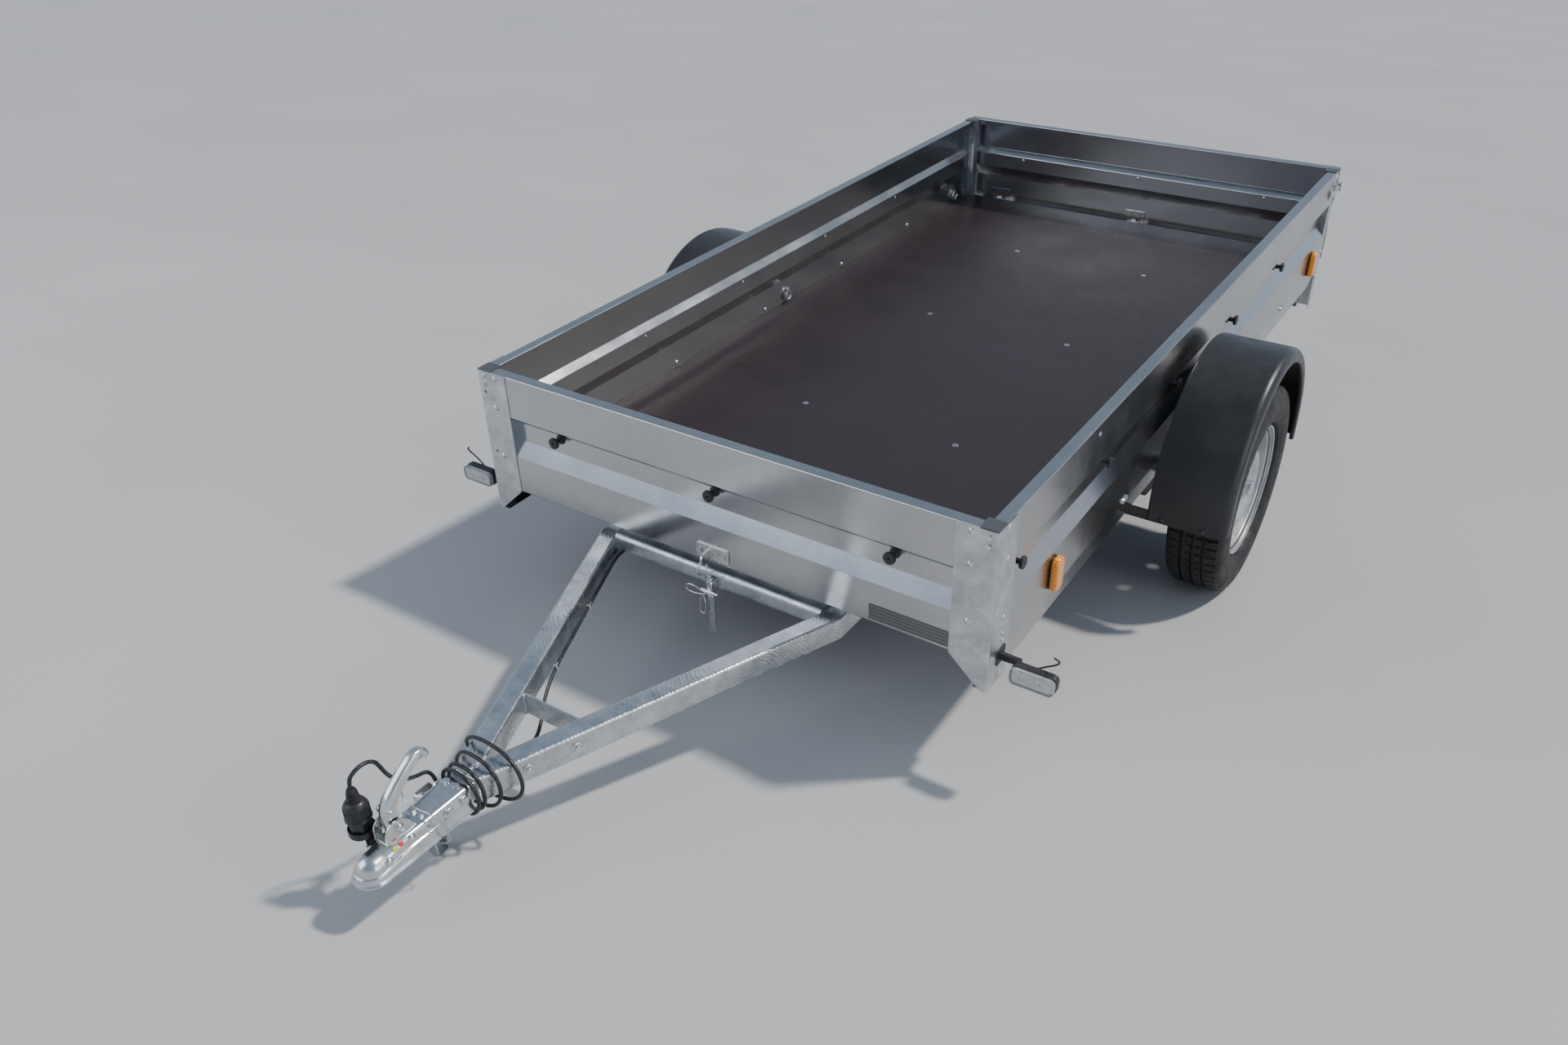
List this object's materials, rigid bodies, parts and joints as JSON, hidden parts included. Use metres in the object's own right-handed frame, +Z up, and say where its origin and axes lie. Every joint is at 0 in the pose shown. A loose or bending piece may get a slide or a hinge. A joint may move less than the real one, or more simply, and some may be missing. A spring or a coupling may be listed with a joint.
{
  "type": "utility trailer",
  "caption": "Single-axle tipping utility trailer: low steel box with drop tailgate on an A-frame drawbar with ball coupling, support foot, mudguards and lamps.",
  "frame": {"origin": "on the ground, under the middle of the whole trailer", "axes": "+Z up, +Y toward the tailgate, +X toward the trailer's left-hand side"},
  "size_m": [1.866, 3.729, 0.907],
  "materials": {
    "amber": "amber lens",
    "axle_steel": "zinc-coated forged steel",
    "black_plastic": "matt black",
    "chrome": "bright plated pressed steel",
    "galvanised": "satin hot-dip galvanised steel",
    "plywood": "brown film-faced plywood",
    "red_lens": "red lens",
    "rim": "silver lacquer",
    "rubber": "black rubber",
    "sheet": "grey roll-formed steel sheet",
    "tyre": "road rubber",
    "white_lamp": "clear lens",
    "zinc": "bright zinc-plated steel"
  },
  "bodies": {
    "chassis": {"axle_tube": "axle_steel", "breakaway_wire": "zinc", "coupling_clamp": "zinc", "coupling_handle": "zinc", "coupling_head": "chrome", "drawbar_arms": "galvanised", "drawbar_cross_pieces": "galvanised", "lighting_cable": "rubber", "mudguard_stays": "black_plastic", "mudguards": "black_plastic", "nose_tube": "galvanised", "plug": "black_plastic", "plug_clip": "zinc", "support_foot": "galvanised", "swing_arms": "axle_steel", "tilt_lock_catch": "zinc"},
    "bed": {"floor_board": "plywood", "side_walls": "sheet", "front_panel": "sheet", "front_posts": "galvanised", "rear_posts": "galvanised", "corner_caps": "black_plastic", "cross_beams": "galvanised", "tip_pivots": "galvanised", "tailgate_hinge_tongues": "zinc", "bed_knobs": "rubber", "lamp_stalks": "rubber", "position_lamps": "white_lamp", "side_lamps": "amber", "lamp_carrier": "galvanised", "rear_lamps": "red_lens", "rear_triangles": "red_lens", "plate_holder": "black_plastic", "lashing_rings": "zinc", "latches": "zinc", "tilt_lock_eye": "zinc"},
    "tailgate": {"tailgate_hinge_leaves": "zinc", "tailgate_knobs": "rubber", "tailgate_panel": "sheet", "latch_keepers": "zinc"},
    "wheel_left": {"tyre_left": "tyre", "wheel_bolts_left": "zinc", "wheel_hub_left": "axle_steel", "wheel_rim_left": "rim"},
    "wheel_right": {"tyre_right": "tyre", "wheel_bolts_right": "zinc", "wheel_hub_right": "axle_steel", "wheel_rim_right": "rim"}
  },
  "joints": [
    {"name": "wheel_left_spin", "type": "hinge", "parent": "chassis", "child": "wheel_left", "pos_m": [0.842, 0.39089, 0.29], "axis": [1, 0, 0], "continuous": true},
    {"name": "wheel_right_spin", "type": "hinge", "parent": "chassis", "child": "wheel_right", "pos_m": [-0.842, 0.39089, 0.29], "axis": [1, 0, 0], "continuous": true},
    {"name": "bed_tip", "type": "hinge", "parent": "chassis", "child": "bed", "pos_m": [0, 0.68543, 0.40223], "axis": [-1, 0, 0], "range_deg": [0, 12.5]},
    {"name": "tailgate_swing", "type": "hinge", "parent": "bed", "child": "tailgate", "pos_m": [0, 1.85548, 0.59425], "axis": [-1, 0, 0], "range_deg": [0, 180]}
  ]
}
